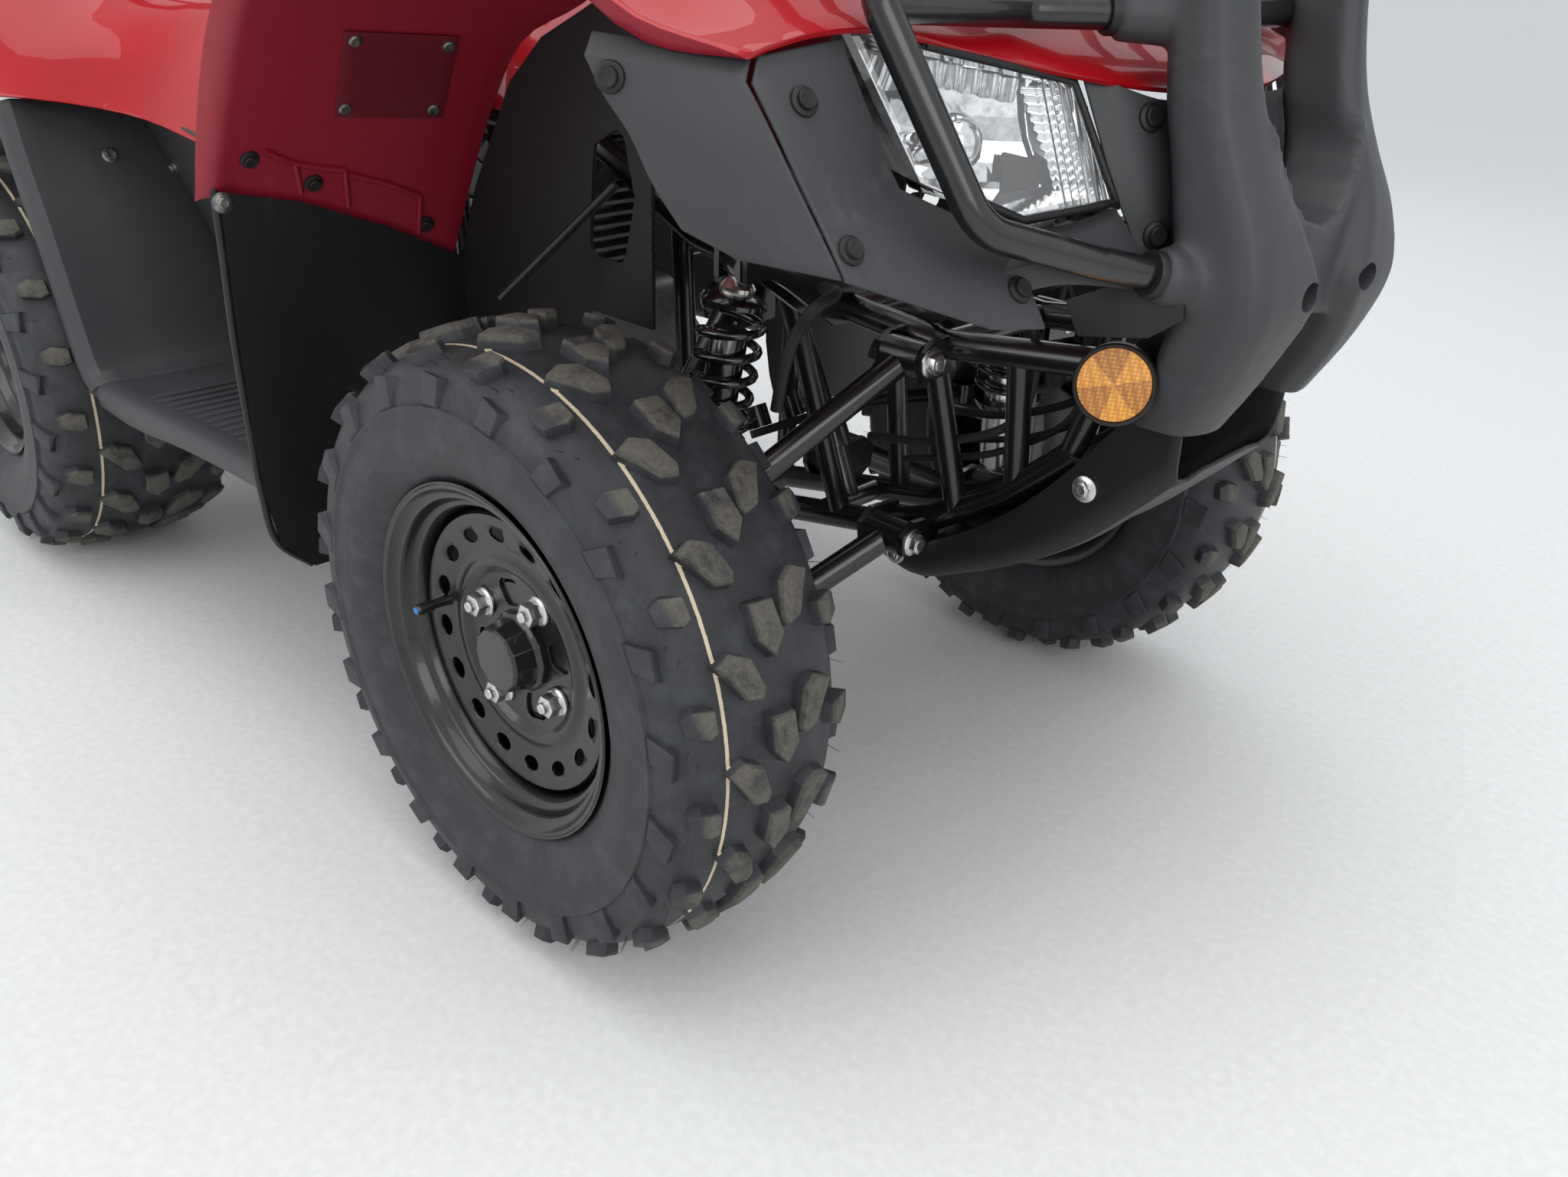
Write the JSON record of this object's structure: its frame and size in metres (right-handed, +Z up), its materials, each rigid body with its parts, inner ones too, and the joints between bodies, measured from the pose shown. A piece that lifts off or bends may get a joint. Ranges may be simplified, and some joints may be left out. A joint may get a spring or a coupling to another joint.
{
  "type": "quad bike",
  "caption": "Sport-utility quad bike with a tubular frame, lugged tyres, moulded fenders, racks and a front bumper; wheels spin and the handlebar steers.",
  "frame": {"origin": "on the ground at the middle of the bounding box", "axes": "+X towards the front, +Y to the rider's left, +Z up"},
  "size_m": [1.9266, 1.035, 1.0751],
  "materials": {
    "frame": "gloss black paint",
    "engine": "cast, bead blasted",
    "steel": "zinc plated",
    "exhaust": "heat-proof satin black",
    "damper": "gloss black springs",
    "rim": "satin black",
    "tyre": "dusty natural rubber",
    "red": "glossy red, moulded through",
    "charcoal": "grained charcoal",
    "black": "grained black",
    "lamp": "faceted reflector",
    "lens": "clear, fluted",
    "amber": "prismatic amber",
    "tail": "clear red",
    "grip": "ribbed",
    "seat": "grained black vinyl"
  },
  "bodies": {
    "chassis": {"frame_cradle": "frame", "frame_front": "frame", "frame_rear": "frame", "engine_case": "engine", "engine_cylinder": "engine", "exhaust_pipe": "exhaust", "muffler": "exhaust", "swingarm": "frame", "rear_shock": "damper", "lower_arms": "frame", "upper_arms": "frame", "front_shocks": "damper", "front_fender": "red", "front_cowl": "charcoal", "headlights": "lamp", "lamp_lenses": "lens", "side_panels": "charcoal", "mud_guards": "black", "footwells": "charcoal", "tank_cover": "red", "seat": "seat", "rear_fender": "red", "front_rack": "frame", "rear_rack": "frame", "bumper_tube": "frame", "bumper_cover": "charcoal", "skid_plate": "black", "reflectors": "amber", "tail_lamp": "tail"},
    "steering": {"steering_shaft": "frame", "handlebar": "frame", "grips": "grip", "levers": "black", "dash_pod": "charcoal"},
    "tie_rod_right": {"tie_rod_right": "frame"},
    "tie_rod_left": {"tie_rod_left": "frame"},
    "knuckle_right": {"knuckle_right": "engine"},
    "knuckle_left": {"knuckle_left": "engine"},
    "front_wheel_right": {"tyre_front_right": "tyre", "rim_front_right": "rim"},
    "front_wheel_left": {"tyre_front_left": "tyre", "rim_front_left": "rim"},
    "rear_axle": {"rear_axle": "steel", "rear_tyres": "tyre", "rear_rims": "rim"}
  },
  "joints": [
    {"name": "steering_turn", "type": "hinge", "parent": "chassis", "child": "steering", "pos_m": [0.4565, 0, 0.385], "axis": [-0.4634, 0, 0.8861], "range_deg": [-38, 38]},
    {"name": "tie_rod_right_pivot", "type": "hinge", "parent": "steering", "child": "tie_rod_right", "pos_m": [0.39092, -0.026, 0.35071], "axis": [-0.4634, 0, 0.8861], "range_deg": [-39, 39]},
    {"name": "tie_rod_left_pivot", "type": "hinge", "parent": "steering", "child": "tie_rod_left", "pos_m": [0.39092, 0.026, 0.35071], "axis": [-0.4634, 0, 0.8861], "range_deg": [-39, 39]},
    {"name": "kingpin_right", "type": "hinge", "parent": "chassis", "child": "knuckle_right", "pos_m": [0.5115, -0.32, 0.185], "axis": [0, 0.0725, 0.9974], "range_deg": [-31, 31]},
    {"name": "kingpin_left", "type": "hinge", "parent": "chassis", "child": "knuckle_left", "pos_m": [0.5115, 0.32, 0.185], "axis": [0, -0.0725, 0.9974], "range_deg": [-31, 31]},
    {"name": "front_wheel_right_spin", "type": "hinge", "parent": "knuckle_right", "child": "front_wheel_right", "pos_m": [0.5115, -0.395, 0.279], "axis": [0, 1, 0], "continuous": true},
    {"name": "front_wheel_left_spin", "type": "hinge", "parent": "knuckle_left", "child": "front_wheel_left", "pos_m": [0.5115, 0.395, 0.279], "axis": [0, 1, 0], "continuous": true},
    {"name": "rear_axle_spin", "type": "hinge", "parent": "chassis", "child": "rear_axle", "pos_m": [-0.6195, 0, 0.279], "axis": [0, 1, 0], "continuous": true}
  ],
  "couplings": [
    {"joint": "tie_rod_right_pivot", "follows": "steering_turn", "ratio": -1},
    {"joint": "tie_rod_left_pivot", "follows": "steering_turn", "ratio": -1},
    {"joint": "kingpin_right", "follows": "steering_turn", "ratio": 0.8043},
    {"joint": "kingpin_left", "follows": "steering_turn", "ratio": 0.8043}
  ]
}
